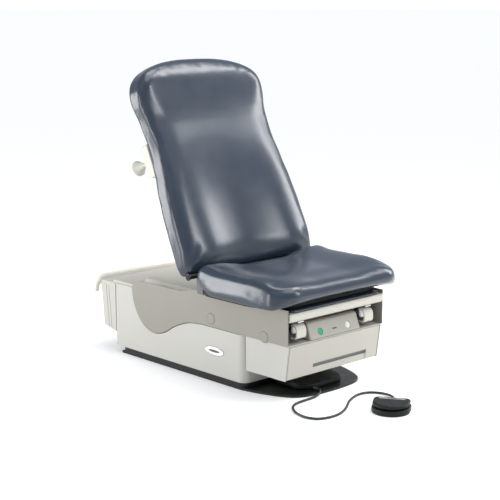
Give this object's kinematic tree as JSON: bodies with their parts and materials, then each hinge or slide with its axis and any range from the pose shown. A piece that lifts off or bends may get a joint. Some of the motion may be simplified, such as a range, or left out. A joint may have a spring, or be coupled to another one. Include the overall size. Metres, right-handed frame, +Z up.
{
  "type": "medical exam table",
  "caption": "Height-adjustable exam table with a padded seat and tilting backrest, pull-out footrest, drawer, stowed stirrups, moulded covers and a foot control on a cord.",
  "frame": {"origin": "on the floor, under the middle of the base cover", "axes": "-Y towards the foot end with the drawer, +X to the right seen from the foot end, +Z up"},
  "size_m": [0.7216, 1.584, 1.2611],
  "materials": {
    "vinyl": "satin vinyl-coated upholstery over foam",
    "ivory": "satin moulded plastic",
    "beige": "satin powder coat",
    "cream": "satin moulded plastic",
    "black": "satin",
    "plate_black": "satin enamel",
    "frame": "satin paint",
    "steel": "bright zinc",
    "rubber": "matt",
    "green": "gloss",
    "pale": "gloss"
  },
  "bodies": {
    "base": {"base_plate": "plate_black", "base_channel_left": "frame", "base_channel_right": "frame", "base_cover": "ivory", "power_inlet": "black", "control_box": "frame", "front_foot_cover": "black", "lift_motor": "steel", "cord_gland": "rubber", "cord_boot": "rubber", "foot_control_base": "black", "foot_cord": "rubber"},
    "treadle": {"foot_treadle": "black"},
    "lift_screw": {"lift_rod": "steel"},
    "outer_arms": {"outer_arm_left": "frame", "outer_arm_right": "frame", "crank_axle": "steel", "upper_roller_axle": "steel"},
    "inner_arms": {"inner_arm_left": "frame", "inner_arm_right": "frame", "lower_roller_axle": "steel", "upper_pivot_axle": "steel"},
    "table": {"upper_rail_left": "frame", "upper_rail_right": "frame", "crossmember_front": "frame", "crossmember_middle": "frame", "crossmember_rear": "frame", "deck_tray": "beige", "seat_board": "black", "seat_cushion": "vinyl", "side_panel_left": "beige", "side_panel_right": "beige", "rear_cover": "cream", "rear_rim": "cream", "drawer_housing": "ivory", "control_module": "cream", "stirrup_guide_left": "steel", "stirrup_guide_right": "steel", "hinge_bracket_left": "frame", "hinge_bracket_right": "frame"},
    "footrest": {"footrest_tray": "cream", "footrest_pad": "vinyl"},
    "drawer": {"drawer_front": "ivory", "drawer_bin": "pale"},
    "stirrup_left": {"stirrup_bar_left": "steel"},
    "stirrup_right": {"stirrup_bar_right": "steel"},
    "cup_left": {"stirrup_cup_left": "cream"},
    "cup_right": {"stirrup_cup_right": "cream"},
    "power_press": {"power_button": "green"},
    "heater_press": {"heater_button": "pale"},
    "spring_tilt": {"spring_cylinder": "black"},
    "spring_travel": {"spring_rod": "steel"},
    "backrest": {"backrest_board": "cream", "backrest_cushion": "vinyl", "hinge_tube": "black", "release_plate_left": "cream", "release_plate_right": "cream"},
    "lever_left": {"release_lever_left": "cream"},
    "lever_right": {"release_lever_right": "cream"}
  },
  "joints": [
    {"name": "lift", "type": "hinge", "parent": "base", "child": "outer_arms", "pos_m": [0, 0.33, 0.0403], "axis": [-1, 0, 0], "range_deg": [0, 48.18]},
    {"name": "scissor_cross", "type": "hinge", "parent": "outer_arms", "child": "inner_arms", "pos_m": [0, -0.01641, 0.0903], "axis": [-1, 0, 0], "range_deg": [-96.4, 0]},
    {"name": "table_level", "type": "hinge", "parent": "inner_arms", "child": "table", "pos_m": [0, 0.33, 0.1403], "axis": [-1, 0, 0], "range_deg": [0, 48.2]},
    {"name": "lift_screw_travel", "type": "slide", "parent": "base", "child": "lift_screw", "axis": [0, 1, 0], "range_m": [0, 0.081]},
    {"name": "backrest_tilt", "type": "hinge", "parent": "table", "child": "backrest", "pos_m": [0, -0.17, 0.432], "axis": [1, 0, 0], "range_deg": [-65, 15]},
    {"name": "spring_swing", "type": "hinge", "parent": "table", "child": "spring_tilt", "pos_m": [0, -0.165, 0.285], "axis": [1, 0, 0], "range_deg": [-40, 9.5]},
    {"name": "spring_stroke", "type": "slide", "parent": "spring_tilt", "child": "spring_travel", "axis": [0, 0.4914, 0.871], "range_m": [-0.12, 0.028]},
    {"name": "footrest_slide", "type": "slide", "parent": "table", "child": "footrest", "axis": [0, -1, 0], "range_m": [0, 0.35]},
    {"name": "drawer_slide", "type": "slide", "parent": "table", "child": "drawer", "axis": [0, -1, 0], "range_m": [0, 0.15]},
    {"name": "stirrup_slide_left", "type": "slide", "parent": "table", "child": "stirrup_left", "axis": [0, -1, 0], "range_m": [0, 0.3]},
    {"name": "stirrup_slide_right", "type": "slide", "parent": "table", "child": "stirrup_right", "axis": [0, -1, 0], "range_m": [0, 0.3]},
    {"name": "cup_flip_left", "type": "hinge", "parent": "stirrup_left", "child": "cup_left", "pos_m": [-0.19, -0.636, 0.297], "axis": [-1, 0, 0], "range_deg": [0, 90]},
    {"name": "cup_flip_right", "type": "hinge", "parent": "stirrup_right", "child": "cup_right", "pos_m": [0.19, -0.636, 0.297], "axis": [-1, 0, 0], "range_deg": [0, 90]},
    {"name": "power_press", "type": "slide", "parent": "table", "child": "power_press", "axis": [0, 0.9367, -0.3502], "range_m": [0, 0.002], "stiffness_N_per_m": 400, "springref_m": -0.001},
    {"name": "heater_press", "type": "slide", "parent": "table", "child": "heater_press", "axis": [0, 0.9367, -0.3502], "range_m": [0, 0.002], "stiffness_N_per_m": 400, "springref_m": -0.001},
    {"name": "treadle_rock", "type": "hinge", "parent": "base", "child": "treadle", "pos_m": [-0.037, -0.9575, 0.024], "axis": [0.8387, 0.5446, 0], "range_deg": [-2.5, 2.5], "stiffness_Nm_per_rad": 20},
    {"name": "release_left", "type": "hinge", "parent": "backrest", "child": "lever_left", "pos_m": [-0.306, 0.1345, 0.8472], "axis": [1, 0, 0], "range_deg": [0, 20], "stiffness_Nm_per_rad": 2, "springref_deg": -5.73},
    {"name": "release_right", "type": "hinge", "parent": "backrest", "child": "lever_right", "pos_m": [0.306, 0.1345, 0.8472], "axis": [1, 0, 0], "range_deg": [0, 20], "stiffness_Nm_per_rad": 2, "springref_deg": -5.73}
  ],
  "couplings": [
    {"joint": "scissor_cross", "follows": "lift", "ratio": -2},
    {"joint": "table_level", "follows": "lift", "ratio": 1},
    {"joint": "lift_screw_travel", "follows": "lift", "m_per_rad": 0.0957},
    {"joint": "spring_swing", "follows": "backrest_tilt", "ratio": 0.61},
    {"joint": "spring_stroke", "follows": "backrest_tilt", "m_per_rad": 0.105}
  ]
}
